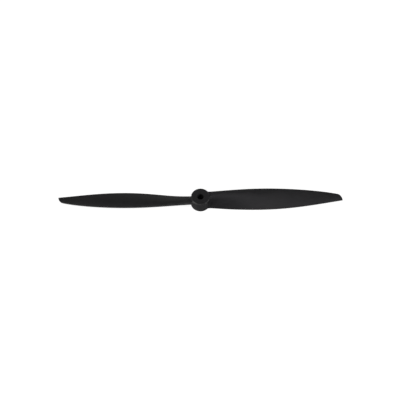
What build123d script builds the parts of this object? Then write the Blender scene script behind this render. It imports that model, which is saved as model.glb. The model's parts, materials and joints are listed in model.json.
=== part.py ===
"""Two-blade fixed-pitch model aircraft propeller, a stiff one-piece nylon moulding, in millimetres.

Frame: the origin is the centre of the hub's back face, on the shaft axis.  +Z points forwards, the
way the propeller pulls.  +X runs along blade_1 and -X along blade_2.  Seen from the front the
propeller turns counter-clockwise, so blade_1 leads with its +Y edge.

The moulding is made whole, with its flared blade roots, and is then divided at two flat planes just
outside the hub into three nodes that meet face to face: hub, blade_1 and blade_2.
"""
from build123d import *
import os
from math import atan, comb, cos, pi, sin, sqrt

# ---- Driving dimensions ------------------------------------------------------------------------

INCH = 25.4
DIAMETER = 10 * INCH            # tip to tip
PITCH = 5 * INCH                # advance of the blade's helix in one turn

HUB_HEIGHT = 12.2
HUB_BACK_DIAMETER = 17.4        # widest, at the back face
HUB_FRONT_DIAMETER = 16.8       # the wall is drafted so that the hub leaves its mould
HUB_FRONT_ROUND = 0.8
HUB_BACK_CHAMFER = 0.4

BORE_DIAMETER = 5.5             # over a shaft or an adapter's post
COLLAR_SEAT_DIAMETER = 8.0      # counterbore in the back face for a shaft adapter's collar
COLLAR_SEAT_DEPTH = 2.5
BORE_CHAMFER = 0.3              # at both mouths

ROOT_CUT = 12.0                 # distance from the axis at which the hub node ends and a blade starts
ROOT_FLARE = 0.6                # how much the blade's root swells into the hub's wall
ROOT_FLARE_FULL = 6.3           # distance from the axis at which the swelling is complete

# ---- Blade shape -------------------------------------------------------------------------------
# Each list holds the control values of a Bezier curve, evenly spaced from BLADE_START to the tip.

BLADE_START = 4.0                                        # inside the hub's wall
TIP_RADIUS = DIAMETER / 2
LEADING_EDGE_Y = [6.0, 7.2, 12.8, 9.2, 10.0, 3.8]        # leading edge, forward of the blade's axis
TRAILING_EDGE_Y = [-6.0, -5.2, -11.2, -9.4, -4.8, -1.3]  # trailing edge, behind the blade's axis
LEADING_EDGE_Z = [9.9, 9.9, 8.1, 8.3]                    # height of the leading edge
THICKNESS = [4.4, 2.9, 2.2, 1.5, 0.9]                    # thickest point of the section
TRAILING_THICKNESS = [0.8, 0.5]                          # blunt trailing edge

TWIST_LIMIT_RADIUS = 28.0       # inside this radius the blade stops twisting up towards the hub
CAMBER = 0.035                  # of the chord, which leaves the back of the blade almost flat
CAMBER_PLACE = 0.4              # of the chord, from the leading edge
TIP_ROUND_LENGTH = 4.2          # over which the leading edge sweeps back to the tip's corner
TIP_EDGE_ROUND = 0.2

SECTION_RADII = [BLADE_START, ROOT_FLARE_FULL, 8, 10, ROOT_CUT, 15, 20, 27, 36]
SECTION_RADII += [48, 60, 72, 84, 96, 107, 117, 124, 131]
POINTS_PER_SIDE = 11            # of an airfoil section, from the leading to the trailing edge


# ---- Blade formulas ----------------------------------------------------------------------------

def bezier(values, fraction):
    """Bezier curve through control values, at a fraction of the way along the blade."""
    order = len(values) - 1
    weights = [comb(order, i) * fraction**i * (1 - fraction) ** (order - i) for i in range(order + 1)]
    return sum(weight * value for weight, value in zip(weights, values))


def along_blade(values, radius):
    """A blade dimension at a radius, level beyond the tip."""
    fraction = (radius - BLADE_START) / (TIP_RADIUS - BLADE_START)
    return bezier(values, min(fraction, 1.0))


def blade_angle(radius):
    """Angle of the section to the disc: a helix of constant pitch, levelled off near the hub."""
    soft_radius = (radius**4 + TWIST_LIMIT_RADIUS**4) ** 0.25
    return atan(PITCH / (2 * pi * soft_radius))


def root_flare(radius):
    """Swelling of both faces and the trailing edge, from nothing at ROOT_CUT to all of it in the wall."""
    inward = (ROOT_CUT - radius) / (ROOT_CUT - ROOT_FLARE_FULL)
    return ROOT_FLARE * min(max(inward, 0.0), 1.0) ** 2


def camber_height(place):
    """Height of the mean line over the chord, in chords, at a place from 0 to 1."""
    if place < CAMBER_PLACE:
        return CAMBER / CAMBER_PLACE**2 * (2 * CAMBER_PLACE * place - place**2)
    rear = 1 - CAMBER_PLACE
    return CAMBER / rear**2 * (rear - CAMBER_PLACE + 2 * CAMBER_PLACE * place - place**2)


def half_thickness(place, thickness, trailing_thickness):
    """Half of the section's thickness at a place from 0 to 1 along the chord."""
    front = 1.4845 * sqrt(place) - 0.63 * place
    rear = -1.758 * place**2 + 1.4215 * place**3 - 0.518 * place**4
    return thickness * (front + rear) + trailing_thickness / 2 * place


def section_points(radius):
    """Airfoil points from the trailing edge over the front, round the nose and back underneath."""
    angle = blade_angle(radius)
    flare = root_flare(radius)
    nose_y = along_blade(LEADING_EDGE_Y, radius)
    nose_z = along_blade(LEADING_EDGE_Z, radius)
    chord = (nose_y - along_blade(TRAILING_EDGE_Y, radius)) / cos(angle) + flare
    thickness = along_blade(THICKNESS, radius) + 2 * flare
    trailing_thickness = along_blade(TRAILING_THICKNESS, radius) + flare

    points = []
    for step in range(-POINTS_PER_SIDE, POINTS_PER_SIDE + 1):
        place = (1 - cos(pi * step / POINTS_PER_SIDE)) / 2
        side = -1 if step > 0 else 1
        height = camber_height(place) * chord
        height += side * half_thickness(place, thickness, trailing_thickness)
        back = place * chord
        y = nose_y - back * cos(angle) - height * sin(angle)
        z = nose_z - back * sin(angle) + height * cos(angle)
        points.append((y, z))
    return points


# ---- Hub boss ----------------------------------------------------------------------------------

with BuildPart() as hub_boss:
    with BuildSketch(Plane.YZ):
        with BuildLine():
            Polyline(
                (0, 0),
                (HUB_BACK_DIAMETER / 2, 0),
                (HUB_FRONT_DIAMETER / 2, HUB_HEIGHT),
                (0, HUB_HEIGHT),
                close=True,
            )
        make_face()
    revolve(axis=Axis.Z)
    chamfer(hub_boss.edges().group_by(Axis.Z)[0], HUB_BACK_CHAMFER)
    fillet(hub_boss.edges().group_by(Axis.Z)[-1], HUB_FRONT_ROUND)


# ---- One blade, along +X -----------------------------------------------------------------------

def station_plane(radius):
    """Plane across the blade: its x is the row's Y and its y is the row's Z."""
    return Plane(origin=(radius, 0, 0), x_dir=(0, 1, 0), z_dir=(1, 0, 0))


# In plan the leading edge sweeps back in a quarter ellipse to a sharp corner at the trailing edge.
TIP_ROUND_START = TIP_RADIUS - TIP_ROUND_LENGTH
TIP_CORNER_Y = TRAILING_EDGE_Y[-1]
TIP_SWEEP_WIDTH = along_blade(LEADING_EDGE_Y, TIP_ROUND_START) - TIP_CORNER_Y
CUTTER_REACH = 20.0             # more than the blade is wide or high

with BuildPart() as tip_cutter:
    with BuildSketch(Plane.XY):
        with BuildLine():
            EllipticalCenterArc(
                (TIP_ROUND_START, TIP_CORNER_Y), TIP_ROUND_LENGTH, TIP_SWEEP_WIDTH, arc_size=90
            )
            Polyline(
                (TIP_ROUND_START, TIP_CORNER_Y + TIP_SWEEP_WIDTH),
                (TIP_ROUND_START, CUTTER_REACH),
                (TIP_RADIUS + CUTTER_REACH, CUTTER_REACH),
                (TIP_RADIUS + CUTTER_REACH, -CUTTER_REACH),
                (TIP_RADIUS, -CUTTER_REACH),
                (TIP_RADIUS, TIP_CORNER_Y),
            )
        make_face()
    extrude(amount=CUTTER_REACH)

with BuildPart() as blade_form:
    for radius in SECTION_RADII:
        points = section_points(radius)
        with BuildSketch(station_plane(radius)):
            with BuildLine():
                Spline(*points)
                Line(points[-1], points[0])
            make_face()
    loft()
    add(tip_cutter.part, mode=Mode.SUBTRACT)
    tip_edges = blade_form.edges().filter_by(lambda e: e.bounding_box().min.X > TIP_ROUND_START)
    fillet(tip_edges.filter_by(lambda e: e.length > TIP_SWEEP_WIDTH), TIP_EDGE_ROUND)


# ---- Whole moulding ----------------------------------------------------------------------------

ON_FACE = 0.01                  # an edge this near to a face lies in it


def is_bore_mouth(edge):
    """True for the two circles where the bores open in the hub's faces."""
    at_face = edge.center().Z < ON_FACE or edge.center().Z > HUB_HEIGHT - ON_FACE
    return edge.geom_type == GeomType.CIRCLE and at_face and edge.radius <= COLLAR_SEAT_DIAMETER / 2


BACK_FACE = Plane(origin=(0, 0, 0), x_dir=(1, 0, 0), z_dir=(0, 0, -1))

with BuildPart() as moulding:
    add(hub_boss.part)
    add(blade_form.part)
    add(blade_form.part, rotation=(0, 0, 180))
    with Locations(BACK_FACE):
        CounterBoreHole(BORE_DIAMETER / 2, COLLAR_SEAT_DIAMETER / 2, COLLAR_SEAT_DEPTH)
    chamfer(moulding.edges().filter_by(is_bore_mouth), BORE_CHAMFER)


# ---- The three nodes ---------------------------------------------------------------------------

BLADE_1_ROOT = Plane(origin=(ROOT_CUT, 0, 0), x_dir=(0, 1, 0), z_dir=(1, 0, 0))
BLADE_2_ROOT = Plane(origin=(-ROOT_CUT, 0, 0), x_dir=(0, -1, 0), z_dir=(-1, 0, 0))

with BuildPart() as hub:
    add(moulding.part)
    split(bisect_by=BLADE_1_ROOT, keep=Keep.BOTTOM)
    split(bisect_by=BLADE_2_ROOT, keep=Keep.BOTTOM)
hub.part.label = "hub"

with BuildPart() as blade_1:
    add(moulding.part)
    split(bisect_by=BLADE_1_ROOT, keep=Keep.TOP)
blade_1.part.label = "blade_1"

with BuildPart() as blade_2:
    add(moulding.part)
    split(bisect_by=BLADE_2_ROOT, keep=Keep.TOP)
blade_2.part.label = "blade_2"

os.makedirs("parts", exist_ok=True)
for piece in (hub.part, blade_1.part, blade_2.part):
    export_step(piece, f"parts/{piece.label}.step")
    print(piece.label, "solids", len(piece.solids()), "volume", round(piece.volume, 1))
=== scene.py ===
"""The looks of a two-blade nylon propeller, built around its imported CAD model.

The real propeller is one moulding.  Its hub and its two blades are built here as three closed
meshes from the same formulas, so that each surface runs smoothly into the next one at the two flat
joints.  Shapes are worked out in millimetres and turned into metres when a mesh is made.
"""

import json
import math

import bmesh
import bpy
import numpy as np
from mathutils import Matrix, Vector


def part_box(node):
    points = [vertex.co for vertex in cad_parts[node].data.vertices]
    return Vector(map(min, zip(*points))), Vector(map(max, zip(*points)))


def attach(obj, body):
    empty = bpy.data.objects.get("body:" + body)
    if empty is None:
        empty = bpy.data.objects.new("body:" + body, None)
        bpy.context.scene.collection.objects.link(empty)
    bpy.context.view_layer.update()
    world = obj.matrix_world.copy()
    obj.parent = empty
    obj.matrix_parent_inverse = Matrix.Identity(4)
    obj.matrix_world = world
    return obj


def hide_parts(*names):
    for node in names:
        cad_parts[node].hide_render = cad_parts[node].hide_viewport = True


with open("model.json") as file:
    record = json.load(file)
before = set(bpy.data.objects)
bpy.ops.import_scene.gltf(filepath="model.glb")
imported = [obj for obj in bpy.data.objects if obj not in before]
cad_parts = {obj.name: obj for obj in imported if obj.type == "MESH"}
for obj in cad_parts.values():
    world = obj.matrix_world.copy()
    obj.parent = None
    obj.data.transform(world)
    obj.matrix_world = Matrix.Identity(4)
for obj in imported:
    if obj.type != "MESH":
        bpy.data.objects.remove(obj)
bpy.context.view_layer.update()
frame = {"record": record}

MM = 0.001                              # one millimetre, in metres

# ---- Sizes that the CAD frame gives ------------------------------------------------------------

hub_low, hub_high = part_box("hub")
blade_low, blade_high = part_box("blade_1")
mounts = {mount["name"]: mount for mount in frame["record"]["mounts"]}

ROOT_CUT = hub_high.x / MM              # the flat joint between the hub and blade_1
HUB_HEIGHT = hub_high.z / MM
TIP_RADIUS = blade_high.x / MM
PITCH = TIP_RADIUS                      # the pitch is half of the diameter
BORE_RADIUS = mounts["shaft_bore"]["dims"]["r_mm"]
COLLAR_RADIUS = mounts["collar_seat"]["dims"]["r_mm"]

# ---- The blade's design, as in the CAD part ----------------------------------------------------
# Each list holds the control values of a Bezier curve, evenly spaced from BLADE_START to the tip.

BLADE_START = 4.0
LEADING_EDGE_Y = [6.0, 7.2, 12.8, 9.2, 10.0, 3.8]
TRAILING_EDGE_Y = [-6.0, -5.2, -11.2, -9.4, -4.8, -1.3]
LEADING_EDGE_Z = [9.9, 9.9, 8.1, 8.3]
THICKNESS = [4.4, 2.9, 2.2, 1.5, 0.9]
TRAILING_THICKNESS = [0.8, 0.5]
TWIST_LIMIT_RADIUS = 28.0
CAMBER = 0.035
CAMBER_PLACE = 0.4
TIP_ROUND_LENGTH = 4.2                  # over which the leading edge sweeps back to the tip's corner
TIP_THINNING = 0.6                      # power of the sweep by which the tip thins
TIP_LAST_TURN = math.radians(87)        # where the sweep's quarter ellipse is cut off, in its own angle

# ---- Hub ---------------------------------------------------------------------------------------

HUB_BACK_RADIUS = 8.7
HUB_FRONT_RADIUS = 8.4
FRONT_ROUND = 0.8
BACK_ROUND = 0.4
COLLAR_DEPTH = 2.5
BORE_CHAMFER = 0.3
CRISP_ROUND = 0.08                      # on edges that look sharp
DRAFT_ROOM = 0.04                       # the wall's draft makes the back's round reach past its radius

ROOT_FILLET = 1.5                       # where the blade has room for it
FILLET_HANDLE = 0.55                    # of the fillet's size, for its cubic curves
WALL_MARGIN = 0.12                      # left on the hub's wall above and below the root fillets
WALL_LOW = BACK_ROUND + DRAFT_ROOM
WALL_HIGH = HUB_HEIGHT - FRONT_ROUND

FLASH = 0.05                            # ridge where the mould's halves met, along the blade's edges
FLASH_FADE = 4.0                        # from nothing at the joint to its full height
PIN_MARKS = 3                           # left on the back face by the mould's ejector pins
PIN_CIRCLE_RADIUS = 6.3
PIN_RADIUS = 1.1
PIN_DEPTH = 0.08
PIN_SOFTNESS = 0.25

WEAR_AND_HIGHLIGHT_RADIUS = 0.8                       # edges rounded this little, or less, are rubbed light and carry a painted highlight
SHARP_ANGLE = math.radians(40)          # between faces that aren't shaded as one surface

# ---- Mesh density ------------------------------------------------------------------------------

WALL_STEPS = 96                         # of the hub's wall, over half a turn
SIDE_STEPS = 24                         # of its height, between the two halves
LOOP_POINTS = 2 * (WALL_STEPS + SIDE_STEPS)   # round a blade section
BLADE_ROWS = 96
TIP_ROWS = 16
FILLET_ROWS = 10
STUB_ROWS = 5
WALL_ROWS = 12
LATHE_SPAN = 0.6                        # longest face along the hub's profile
BACK_FACE_SPAN = 0.12
DEGREES_PER_FACE = 12                   # on the profile's rounded corners
REACH_PASSES = 12                       # of the search for where the blade meets the hub
FILLET_SMOOTHING = 8                    # passes over the fillet's size round the blade
WELD_DISTANCE = 0.002
NEARLY = 1e-4                           # far less than the shortest edge of a mesh


# ---- Blade surface -----------------------------------------------------------------------------

def bezier(values, fraction):
    """Bezier curve through control values, at a fraction of the way along the blade."""
    order = len(values) - 1
    terms = [
        math.comb(order, i) * fraction**i * (1 - fraction) ** (order - i) * value
        for i, value in enumerate(values)
    ]
    return sum(terms)


def along_blade(values, radius):
    """A blade dimension at a radius, level beyond the tip."""
    fraction = (radius - BLADE_START) / (TIP_RADIUS - BLADE_START)
    return bezier(values, np.minimum(fraction, 1.0))


def blade_angle(radius):
    """Angle of the section to the disc: a helix of constant pitch, levelled off near the hub."""
    soft_radius = (radius**4 + TWIST_LIMIT_RADIUS**4) ** 0.25
    return np.arctan(PITCH / (2 * np.pi * soft_radius))


def camber_height(place):
    """Height of the mean line over the chord, in chords."""
    rear = 1 - CAMBER_PLACE
    ahead = CAMBER / CAMBER_PLACE**2 * (2 * CAMBER_PLACE * place - place**2)
    behind = CAMBER / rear**2 * (rear - CAMBER_PLACE + 2 * CAMBER_PLACE * place - place**2)
    return np.where(place < CAMBER_PLACE, ahead, behind)


def tip_sweep(radius):
    """What is left of the chord as the leading edge sweeps back, in a quarter ellipse, to the tip."""
    inward = np.clip((radius - TIP_RADIUS + TIP_ROUND_LENGTH) / TIP_ROUND_LENGTH, 0, 1)
    return np.sqrt(1 - inward**2)


def blade_skin(radius, index):
    """Points of the blade's skin, as (x, y, z), at distances from the axis and loop indices.

    The index runs from the trailing edge over the front to the leading edge, at half of
    LOOP_POINTS, and back underneath.
    """
    turn = 2 * np.pi * index / LOOP_POINTS
    place = (1 + np.cos(turn)) / 2
    side = np.where(np.sin(turn) >= 0, 1.0, -1.0)

    angle = blade_angle(radius)
    sweep = tip_sweep(radius)
    tail_y = along_blade(TRAILING_EDGE_Y, radius)
    full_width = along_blade(LEADING_EDGE_Y, radius) - tail_y
    nose_y = tail_y + full_width * sweep
    nose_z = along_blade(LEADING_EDGE_Z, radius) - full_width * (1 - sweep) * np.tan(angle)
    chord = full_width * sweep / np.cos(angle)

    thickness = along_blade(THICKNESS, radius) * sweep**TIP_THINNING
    tail_thickness = along_blade(TRAILING_THICKNESS, radius) * sweep**TIP_THINNING
    # The thickness formula of a four-digit airfoil, with the blunt tail rounded off.
    body = 1.4845 * np.sqrt(place) - 0.63 * place - 1.758 * place**2
    body = body + 1.4215 * place**3 - 0.518 * place**4
    tail_round = np.minimum(0.5 * tail_thickness / chord, 0.5)
    tail_place = np.clip((place - 1 + tail_round) / tail_round, 0, 1)
    tail = tail_thickness / 2 * place * np.sqrt(1 - tail_place**2)
    height = camber_height(place) * chord + side * (thickness * body + tail)

    flash = FLASH * sweep * np.clip((radius - ROOT_CUT) / FLASH_FADE, 0, 1)
    back = place * chord + flash * ((index == 0) * 1.0 - (index == LOOP_POINTS // 2))
    x = radius + 0 * index
    y = nose_y - back * np.cos(angle) - height * np.sin(angle)
    z = nose_z - back * np.sin(angle) + height * np.cos(angle)
    return np.stack(np.broadcast_arrays(x, y, z), axis=-1)


# ---- Hub surface -------------------------------------------------------------------------------

def wall_radius(z):
    """Radius of the hub's drafted wall."""
    return HUB_BACK_RADIUS + (HUB_FRONT_RADIUS - HUB_BACK_RADIUS) * z / HUB_HEIGHT


def wall_point(turn, z):
    """Point of the hub's wall at an angle from +X and a height."""
    r = wall_radius(z)
    return np.stack([r * np.cos(turn), r * np.sin(turn), z], axis=-1)


def reach_wall(index, gap):
    """Where the skin's lines, followed inwards, come within a gap of the hub's wall."""
    radius = np.full(LOOP_POINTS, ROOT_CUT)
    for _ in range(REACH_PASSES):
        skin = blade_skin(radius, index)
        wanted = wall_radius(skin[:, 2]) + gap
        radius = np.sqrt(wanted**2 - skin[:, 1] ** 2)
    return blade_skin(radius, index)


def around(values):
    """Central difference of a closed loop of points."""
    return np.roll(values, -1, axis=0) - np.roll(values, 1, axis=0)


def smooth_loop(values, passes):
    """Evens out numbers round a closed loop."""
    for _ in range(passes):
        values = (np.roll(values, 1) + 2 * values + np.roll(values, -1)) / 4
    return values


def root_rows():
    """Rows of the blade's root: the stub from the joint, the fillet, and the wall to its border."""
    index = np.arange(LOOP_POINTS)
    corner = reach_wall(index, 0.0)
    turn = np.arctan2(corner[:, 1], corner[:, 0])
    middle_radius = (HUB_BACK_RADIUS + HUB_FRONT_RADIUS) / 2

    # On the unrolled wall the fillet ends at an offset of the curve in which the blade meets it.
    flat = np.stack([turn * middle_radius, corner[:, 2]], axis=-1)
    along = around(flat)
    normal = np.stack([along[:, 1], -along[:, 0]], axis=-1)
    normal /= np.linalg.norm(normal, axis=1, keepdims=True)
    centre = flat.mean(axis=0)
    if np.sum(normal * (flat - centre)) < 0:
        normal = -normal
    nearly_level = 0.05
    room_up = (WALL_HIGH - WALL_MARGIN - flat[:, 1]) / np.maximum(normal[:, 1], nearly_level)
    room_down = (flat[:, 1] - WALL_LOW - WALL_MARGIN) / np.maximum(-normal[:, 1], nearly_level)
    fillet = np.minimum(np.minimum(room_up, room_down), ROOT_FILLET)
    fillet = np.minimum(smooth_loop(fillet, FILLET_SMOOTHING), fillet)

    landing_flat = flat + normal * fillet[:, None]
    landing_turn = landing_flat[:, 0] / middle_radius
    landing = wall_point(landing_turn, landing_flat[:, 1])
    start = reach_wall(index, fillet)

    # Each line of the fillet is a cubic curve that leaves the blade and meets the wall smoothly.
    inward = corner - start
    inward /= np.linalg.norm(inward, axis=1, keepdims=True)
    step = 1e-3
    before = landing_flat - normal * step
    onward = (landing - wall_point(before[:, 0] / middle_radius, before[:, 1])) / step
    handle = FILLET_HANDLE * fillet[:, None]
    curve = [start, start + inward * handle, landing - onward * handle, landing]
    rows = []
    for i in range(STUB_ROWS):
        share = i / STUB_ROWS
        radius = ROOT_CUT + (start[:, 0] - ROOT_CUT) * share
        rows.append(blade_skin(radius, index))
    for i in range(FILLET_ROWS + 1):
        t = i / FILLET_ROWS
        weights = [(1 - t) ** 3, 3 * t * (1 - t) ** 2, 3 * t**2 * (1 - t), t**3]
        rows.append(sum(weight * point for weight, point in zip(weights, curve)))
    return rows, np.stack([landing_turn, landing_flat[:, 1]], axis=-1)


def wall_border():
    """Border of half of the wall, as (turn, height), from +X's left top corner clockwise."""
    quarter = np.pi / 2
    across = np.linspace(-quarter, quarter, WALL_STEPS + 1)[:-1]
    upward = np.linspace(WALL_LOW, WALL_HIGH, SIDE_STEPS + 1)[:-1]
    top = [(turn, WALL_HIGH) for turn in across]
    right = [(quarter, WALL_HIGH + WALL_LOW - z) for z in upward]
    bottom = [(-turn, WALL_LOW) for turn in across]
    left = [(-quarter, z) for z in upward]
    return np.array(top + right + bottom + left)


def wall_rows(landing):
    """Rows from the fillets' landing line to the border of half of the wall, on the wall."""
    border = wall_border()
    scale = np.array([HUB_BACK_RADIUS, 1.0])
    turned = [np.roll(border, shift, axis=0) for shift in range(LOOP_POINTS)]
    nearest = min(turned, key=lambda loop: np.sum(((loop - landing) * scale) ** 2))
    rows = []
    for i in range(1, WALL_ROWS + 1):
        share = i / WALL_ROWS
        row = landing * (1 - share) + nearest * share
        rows.append(wall_point(row[:, 0], row[:, 1]))
    return rows


def rounded_profile(corners):
    """Profile (radius, height) through corners given as (radius, height, rounding)."""
    points = [corners[0][:2]]
    for before, corner, after in zip(corners, corners[1:], corners[2:]):
        here = Vector(corner[:2])
        back = (Vector(before[:2]) - here).normalized()
        onward = (Vector(after[:2]) - here).normalized()
        half = back.angle(onward) / 2
        setback = corner[2] / math.tan(half)
        centre = here + (back + onward).normalized() * corner[2] / math.sin(half)
        first = here + back * setback - centre
        last = here + onward * setback - centre
        steps = max(2, round(math.degrees(math.pi - 2 * half) / DEGREES_PER_FACE))
        swing = first.angle_signed(last)
        for i in range(steps + 1):
            angle = -swing * i / steps
            turned = Vector((
                first.x * math.cos(angle) - first.y * math.sin(angle),
                first.x * math.sin(angle) + first.y * math.cos(angle),
            ))
            points.append(tuple(centre + turned))
    points.append(corners[-1][:2])
    return points


def divided(points):
    """A profile with its long spans divided, most finely on the back face, for the pins' marks."""
    result = [points[0]]
    for start, end in zip(points, points[1:]):
        on_back = max(start[1], end[1]) < NEARLY
        longest = BACK_FACE_SPAN if on_back else LATHE_SPAN
        pieces = max(1, math.ceil(math.dist(start, end) / longest))
        for i in range(1, pieces + 1):
            result.append(tuple(np.array(start) + (np.array(end) - np.array(start)) * i / pieces))
    return result


def pin_mark_depth(x, y):
    """Depth of the ejector pins' round marks at points of the back face."""
    depth = 0 * x
    for i in range(PIN_MARKS):
        turn = np.pi / 2 + 2 * np.pi * i / PIN_MARKS
        away = np.hypot(x - PIN_CIRCLE_RADIUS * np.cos(turn), y - PIN_CIRCLE_RADIUS * np.sin(turn))
        depth = depth + PIN_DEPTH * np.clip((PIN_RADIUS - away) / PIN_SOFTNESS, 0, 1)
    return depth


def hub_lathe_rows():
    """Rings from the wall's top border over the front face, down the bore and round to the back."""
    front_edge = wall_radius(HUB_HEIGHT)
    corners = [
        (wall_radius(WALL_HIGH), WALL_HIGH, 0),
        (front_edge, HUB_HEIGHT, FRONT_ROUND),
        (BORE_RADIUS + BORE_CHAMFER, HUB_HEIGHT, CRISP_ROUND),
        (BORE_RADIUS, HUB_HEIGHT - BORE_CHAMFER, CRISP_ROUND),
        (BORE_RADIUS, COLLAR_DEPTH, CRISP_ROUND),
        (COLLAR_RADIUS, COLLAR_DEPTH, CRISP_ROUND),
        (COLLAR_RADIUS, BORE_CHAMFER, CRISP_ROUND),
        (COLLAR_RADIUS + BORE_CHAMFER, 0, CRISP_ROUND),
        (wall_radius(0), 0, BACK_ROUND),
        (wall_radius(WALL_LOW), WALL_LOW, 0),
    ]
    turn = np.linspace(-np.pi / 2, 3 * np.pi / 2, 2 * WALL_STEPS + 1)[:-1]
    rows = []
    for r, z in divided(rounded_profile(corners)):
        x, y = r * np.cos(turn), r * np.sin(turn)
        lift = pin_mark_depth(x, y) if z < NEARLY else 0
        rows.append(np.stack([x, y, z + lift + 0 * turn], axis=-1))
    return rows


# ---- Mesh making -------------------------------------------------------------------------------

def bulge(vert):
    """How strongly the surface bulges at a vertex: 1 where an edge's radius is WEAR_AND_HIGHLIGHT_RADIUS."""
    bend = sum(edge.calc_face_angle_signed() * edge.calc_length() for edge in vert.link_edges) / 2
    area = sum(face.calc_area() for face in vert.link_faces) / 4
    return min(max(bend / area * WEAR_AND_HIGHLIGHT_RADIUS * MM, 0), 1)


def edge_wear_and_highlight(bm):
    """Wear and painted highlight of each vertex, from how sharply it bulges.

    There is none in and beside the bore.  At the flat joints, which aren't edges of the real
    moulding, the wear and painted highlight carry on from the skin beside them.
    """
    sheltered = (COLLAR_RADIUS + 1) * MM
    wear = {vert: 0 if vert.co.xy.length < sheltered else bulge(vert) for vert in bm.verts}
    for vert in bm.verts:
        if abs(abs(vert.co.x) - ROOT_CUT * MM) < NEARLY * MM:
            others = [edge.other_vert(vert) for edge in vert.link_edges]
            beside = [wear[other] for other in others if abs(other.co.x - vert.co.x) > WELD_DISTANCE * MM]
            wear[vert] = sum(beside) / max(len(beside), 1)
    return [wear[vert] for vert in bm.verts]


class Shell:
    """Collects grids of points into one closed mesh."""

    def __init__(self):
        self.bm = bmesh.new()

    def ring(self, points):
        """Vertices at a row of points in millimetres."""
        return [self.bm.verts.new(Vector(point) * MM) for point in points]

    def rings(self, rows):
        """Joins a run of closed rings with quads."""
        rings = [self.ring(row) for row in rows]
        for inner, outer in zip(rings, rings[1:]):
            for i in range(len(inner)):
                j = (i + 1) % len(inner)
                self.bm.faces.new((inner[i], inner[j], outer[j], outer[i]))
        return rings

    def cap(self, ring):
        """Closes a section's ring with quads that join its front to its back."""
        count = len(ring)
        for i in range(count // 2):
            corners = [ring[i], ring[i + 1], ring[(count - i - 1) % count], ring[(count - i) % count]]
            unique = list(dict.fromkeys(corners))
            self.bm.faces.new(unique)

    def finish(self, name, material):
        """Welds the grids, checks that the mesh is closed, and makes the object."""
        bmesh.ops.remove_doubles(self.bm, verts=self.bm.verts, dist=WELD_DISTANCE * MM)
        bmesh.ops.recalc_face_normals(self.bm, faces=self.bm.faces)
        if any(len(edge.link_faces) != 2 for edge in self.bm.edges):
            raise ValueError(f"{name} isn't a closed mesh")
        for face in self.bm.faces:
            face.smooth = True
        for edge in self.bm.edges:
            edge.smooth = edge.calc_face_angle() < SHARP_ANGLE
        edge_layer = self.bm.verts.layers.float.new("edge")
        for vert, wear in zip(self.bm.verts, edge_wear_and_highlight(self.bm)):
            vert[edge_layer] = wear
        mesh = bpy.data.meshes.new(name)
        self.bm.to_mesh(mesh)
        self.bm.free()
        mesh.materials.append(material)
        piece = bpy.data.objects.new(name, mesh)
        bpy.context.scene.collection.objects.link(piece)
        return piece


def half_turn(rows):
    """The same rows, turned by 180 degrees about the shaft axis."""
    return [row * np.array([-1.0, -1.0, 1.0]) for row in rows]


def make_hub(material):
    """The hub with its two blade stubs, out to the flat joints."""
    shell = Shell()
    root, landing = root_rows()
    rows = root + wall_rows(landing)
    for side in (rows, half_turn(rows)):
        rings = shell.rings(side)
        shell.cap(rings[0])
    shell.rings(hub_lathe_rows())
    return shell.finish("hub_moulding", material)


def blade_rows():
    """Rows of one blade along +X, from the joint to the tip, where they crowd together."""
    index = np.arange(LOOP_POINTS)
    round_start = TIP_RADIUS - TIP_ROUND_LENGTH
    radii = list(np.linspace(ROOT_CUT, round_start, BLADE_ROWS + 1))
    for i in range(1, TIP_ROWS + 1):
        radii.append(round_start + TIP_ROUND_LENGTH * math.sin(TIP_LAST_TURN * i / TIP_ROWS))
    return [blade_skin(np.float64(radius), index) for radius in radii]


def make_blade(name, rows, material):
    """One blade, closed at the flat joint and at the tip."""
    shell = Shell()
    rings = shell.rings(rows)
    shell.cap(rings[0])
    shell.cap(rings[-1])
    return shell.finish(name, material)


# ---- Materials ---------------------------------------------------------------------------------

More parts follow.
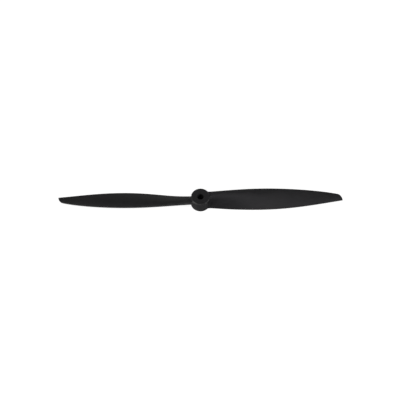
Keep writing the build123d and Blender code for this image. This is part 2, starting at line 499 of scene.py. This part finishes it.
class Nodes:
    """Short calls for building a material's node tree."""

    def __init__(self, name):
        self.material = bpy.data.materials.new(name)
        self.material.use_nodes = True
        self.tree = self.material.node_tree
        self.shader = self.tree.nodes["Principled BSDF"]

    def add(self, kind, **settings):
        node = self.tree.nodes.new(kind)
        for key, value in settings.items():
            setattr(node, key, value)
        return node

    def link(self, source, target):
        self.tree.links.new(source, target)

    def feed(self, node, inputs):
        """Sets a node's inputs, each to a value or to another node's output."""
        for key, value in inputs.items():
            if isinstance(value, bpy.types.NodeSocket):
                self.link(value, node.inputs[key])
            else:
                node.inputs[key].default_value = value
        return node

    def position(self, stretch, shift):
        """Place on the part in metres, multiplied along each axis and then moved along X."""
        coordinates = self.add("ShaderNodeTexCoord").outputs["Object"]
        mapping = self.add("ShaderNodeMapping")
        self.feed(mapping, {"Vector": coordinates, "Scale": stretch, "Location": (shift, 0, 0)})
        return mapping.outputs["Vector"]

    def noise(self, size, stretch=(1, 1, 1), detail=2.0, roughness=0.5, shift=0.0):
        """Noise whose features are about this many millimetres across, before the stretch."""
        node = self.add("ShaderNodeTexNoise")
        inputs = {"Vector": self.position(stretch, shift), "Scale": 1 / (size * MM)}
        inputs.update({"Detail": detail, "Roughness": roughness})
        return self.feed(node, inputs).outputs["Fac"]

    def remap(self, value, low, high, to_low, to_high):
        node = self.add("ShaderNodeMapRange")
        inputs = {"Value": value, "From Min": low, "From Max": high}
        inputs.update({"To Min": to_low, "To Max": to_high})
        return self.feed(node, inputs).outputs["Result"]

    def math(self, operation, first, second):
        node = self.add("ShaderNodeMath", operation=operation)
        return self.feed(node, {0: first, 1: second}).outputs["Value"]

    def mix_colour(self, factor, first, second):
        node = self.add("ShaderNodeMix", data_type="RGBA")
        return self.feed(node, {0: factor, 6: first, 7: second}).outputs[2]

    def blend(self, factor, first, second):
        node = self.add("ShaderNodeMix", data_type="FLOAT")
        return self.feed(node, {0: factor, 2: first, 3: second}).outputs[0]

    def from_axis(self):
        """Distance from the shaft axis, and height, in metres."""
        place = self.add("ShaderNodeSeparateXYZ")
        self.feed(place, {"Vector": self.add("ShaderNodeTexCoord").outputs["Object"]})
        flat = self.add("ShaderNodeCombineXYZ")
        self.feed(flat, {"X": place.outputs["X"], "Y": place.outputs["Y"]})
        length = self.add("ShaderNodeVectorMath", operation="LENGTH")
        return self.feed(length, {0: flat.outputs["Vector"]}).outputs["Value"], place.outputs["Z"]

    def rings(self, radius, height, size):
        """Noise that is the same all round the shaft axis, like the marks of turning."""
        section = self.add("ShaderNodeCombineXYZ")
        self.feed(section, {"X": radius, "Z": height})
        node = self.add("ShaderNodeTexNoise")
        inputs = {"Vector": section.outputs["Vector"], "Scale": 1 / (size * MM), "Detail": 2.0}
        return self.feed(node, inputs).outputs["Fac"]

    def attribute(self, name):
        return self.add("ShaderNodeAttribute", attribute_name=name).outputs["Fac"]

    def bump(self, height, millimetres, normal=None):
        node = self.add("ShaderNodeBump")
        inputs = {"Height": height, "Distance": millimetres * MM, "Strength": 1.0}
        if normal is not None:
            inputs["Normal"] = normal
        return self.feed(node, inputs).outputs["Normal"]


DEEP_BLACK = (0.0078, 0.0078, 0.009, 1)
LIGHT_BLACK = (0.0285, 0.0281, 0.0303, 1)
# rubbed edges: lighter partly for wear and partly as a painted highlight
RUBBED_AND_HIGHLIGHT_GREY = (0.085, 0.084, 0.086, 1)
BORE_PAINTED_SHADE = (0.005, 0.005, 0.005, 1)   # painted shade on the bore's wall; its dull finish from the mould's core pin is in the roughness

FLOW_SIZE = 14.0                        # of the marks that the melt left, in millimetres
FIBRE_SIZE = 0.45
GRAIN_SIZE = 0.35
WAVE_SIZE = 9.0                         # of the slight unevenness of the whole surface
WEAR_AND_HIGHLIGHT_SIZE = 5.0                         # of the patches in which edges are rubbed and carry the painted highlight
RING_SIZE = 0.3                         # of the turning marks on the hub

WAVE_DEPTH = 0.12
FIBRE_DEPTH = 0.018
GRAIN_DEPTH = 0.018


def black_nylon():
    """Glass-filled black nylon as it leaves the mould.

    The blades are satin, with flow marks and fine fibres that run outwards from the hub.  The hub
    shows the turning marks of its round mould insert.  Rubbed edges are lighter and smoother; the
    lightness is partly wear and partly a painted highlight.  The bore's wall is darkened with painted
    shade.
    """
    nodes = Nodes("black_nylon")
    flow = nodes.noise(FLOW_SIZE, stretch=(0.35, 1, 1), detail=3)
    fibres = nodes.noise(FIBRE_SIZE, stretch=(0.07, 1, 1), detail=2)
    grain = nodes.noise(GRAIN_SIZE, detail=2, roughness=0.6)
    wave = nodes.noise(WAVE_SIZE, stretch=(0.6, 1, 1), detail=1)
    # the shift places the rubbed patches, and the painted highlight they carry, along the edges
    wear_and_highlight_patches = nodes.noise(WEAR_AND_HIGHLIGHT_SIZE, detail=3, roughness=0.6, shift=0.9)

    radius, height = nodes.from_axis()
    on_hub = nodes.remap(radius, HUB_BACK_RADIUS * MM, (HUB_BACK_RADIUS + 1.5) * MM, 1, 0)
    in_bore = nodes.remap(radius, (BORE_RADIUS + 0.15) * MM, (BORE_RADIUS + 0.5) * MM, 1, 0)
    strands = nodes.blend(on_hub, fibres, nodes.rings(radius, height, RING_SIZE))
    wear_and_highlight_share = nodes.remap(wear_and_highlight_patches, 0.4, 0.65, 0.1, 1.0)
    rubbed_and_highlight = nodes.math("MULTIPLY", nodes.attribute("edge"), wear_and_highlight_share)

    tone = nodes.remap(flow, 0.3, 0.7, 0, 0.5)
    tone = nodes.math("ADD", tone, nodes.remap(strands, 0.3, 0.75, 0, 0.5))
    colour = nodes.mix_colour(tone, DEEP_BLACK, LIGHT_BLACK)
    # rubbed edges lightened: partly wear, partly a painted highlight on the hub's rim and edges
    colour = nodes.mix_colour(rubbed_and_highlight, colour, RUBBED_AND_HIGHLIGHT_GREY)
    # painted shade: the bore's wall is mixed to near-black, for the shade in the hole
    colour = nodes.mix_colour(in_bore, colour, BORE_PAINTED_SHADE)

    roughness = nodes.remap(strands, 0.3, 0.7, 0.43, 0.55)
    roughness = nodes.math("ADD", roughness, nodes.remap(flow, 0.3, 0.7, -0.03, 0.03))
    roughness = nodes.math("SUBTRACT", roughness, nodes.math("MULTIPLY", rubbed_and_highlight, 0.14))
    roughness = nodes.blend(in_bore, roughness, 0.85)

    normal = nodes.bump(wave, WAVE_DEPTH)
    normal = nodes.bump(strands, FIBRE_DEPTH, normal)
    normal = nodes.bump(grain, GRAIN_DEPTH, normal)

    nodes.feed(nodes.shader, {"Base Color": colour, "Roughness": roughness, "Normal": normal})
    nodes.feed(nodes.shader, {"IOR": 1.53, "Specular IOR Level": 0.5})
    return nodes.material


FLOOR_GREYS = ((0.585, 0.585, 0.585, 1), (0.615, 0.615, 0.615, 1))
FLOOR_GLOW = 0.86                       # what the camera sees on top of the light that falls on it
LAMPS_REACH = (0.6, 2.4)                # metres, from the lamps' full light to almost none
PAINTED_SHADOW_UNDER_HUB = 7.5                         # painted shadow: the floor's glow is left out under the hub, so the floor seen through the bore is dark


def white_sweep():
    """The floor: matt, and bright enough to the camera to print white, as in a catalogue picture."""
    nodes = Nodes("white_sweep")
    colour = nodes.mix_colour(nodes.noise(60, detail=2), *FLOOR_GREYS)
    seen = nodes.add("ShaderNodeLightPath").outputs["Is Camera Ray"]
    radius, _ = nodes.from_axis()
    # painted shadow under the hub: the glow fades to nothing within this radius
    outside_painted_shadow = nodes.remap(radius, PAINTED_SHADOW_UNDER_HUB * MM, (PAINTED_SHADOW_UNDER_HUB + 0.5) * MM, 0, 1)
    level = nodes.remap(radius, *LAMPS_REACH, FLOOR_GLOW, 1)
    glow = nodes.math("MULTIPLY", seen, nodes.math("MULTIPLY", outside_painted_shadow, level))
    nodes.feed(nodes.shader, {"Base Color": colour, "Roughness": 0.95, "Specular IOR Level": 0.0})
    nodes.feed(nodes.shader, {"Emission Color": (1, 1, 1, 1), "Emission Strength": glow})
    return nodes.material


# ---- The propeller -----------------------------------------------------------------------------

nylon = black_nylon()
rows = blade_rows()
pieces = {
    "hub": make_hub(nylon),
    "blade_1": make_blade("blade_1_moulding", rows, nylon),
    "blade_2": make_blade("blade_2_moulding", half_turn(rows), nylon),
}
for node, piece in pieces.items():
    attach(piece, "root")
    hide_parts(node)


# ---- Floor, light and camera -------------------------------------------------------------------

FLOOR_SIZE = 12                         # metres

bpy.ops.mesh.primitive_plane_add(size=FLOOR_SIZE)
floor = bpy.context.object
floor.name = "floor"
floor.data.materials.append(white_sweep())

LIGHT_DISTANCE = 1.5
COOL = (0.94, 0.9, 1.0)
NEUTRAL = (1.0, 1.0, 1.0)
WARM = (1.0, 1.0, 0.92)


def soft_light(name, towards, size, power, colour):
    """A round softbox in a direction from the propeller, facing it."""
    light = bpy.data.lights.new(name, "AREA")
    light.shape = "DISK"
    light.size = size
    light.energy = power
    light.color = colour
    lamp = bpy.data.objects.new(name, light)
    lamp.location = Vector(towards).normalized() * LIGHT_DISTANCE
    lamp.rotation_euler = (-lamp.location).to_track_quat("-Z", "Y").to_euler()
    bpy.context.scene.collection.objects.link(lamp)


soft_light("overhead", (0, -0.45, 0.9), 1.0, 2.3, COOL)
soft_light("behind", (0, 0.5, 0.87), 1.0, 0.95, NEUTRAL)
soft_light("low_behind", (0, 1, 0.22), 1.0, 0.7, NEUTRAL)
soft_light("right", (0.8, -0.25, 0.5), 0.4, 4.7, NEUTRAL)
soft_light("high_left", (-0.5, -0.3, 0.8), 0.6, 2.9, WARM)
soft_light("low_left", (-0.9, -0.4, 0.15), 0.4, 7.8, NEUTRAL)

WORLD_LIGHT = 0.02


def studio_world():
    """Even grey light from all round, behind a white backdrop."""
    world = bpy.data.worlds.new("studio")
    world.use_nodes = True
    tree = world.node_tree
    background = tree.nodes["Background"]
    background.inputs["Color"].default_value = (1, 1, 1, 1)
    seen = tree.nodes.new("ShaderNodeLightPath").outputs["Is Camera Ray"]
    strength = tree.nodes.new("ShaderNodeMapRange")
    strength.inputs["To Min"].default_value = WORLD_LIGHT
    strength.inputs["To Max"].default_value = 1.0
    tree.links.new(seen, strength.inputs["Value"])
    tree.links.new(strength.outputs["Result"], background.inputs["Strength"])
    return world


bpy.context.scene.world = studio_world()
bpy.context.scene.view_settings.view_transform = "Standard"

CAMERA_DISTANCE = 1.4
CAMERA_ELEVATION = math.radians(61.5)
AIM = Vector((-0.00042, 0.0024, 0.0013))
FRAME_WIDTH = 0.3591                    # seen across the picture at the propeller

camera_data = bpy.data.cameras.new("camera")
camera_data.lens = camera_data.sensor_width * CAMERA_DISTANCE / FRAME_WIDTH
camera = bpy.data.objects.new("camera", camera_data)
back = Vector((0, -math.cos(CAMERA_ELEVATION), math.sin(CAMERA_ELEVATION)))
camera.location = AIM + back * CAMERA_DISTANCE
camera.rotation_euler = (math.pi / 2 - CAMERA_ELEVATION, 0, 0)
bpy.context.scene.collection.objects.link(camera)
bpy.context.scene.camera = camera
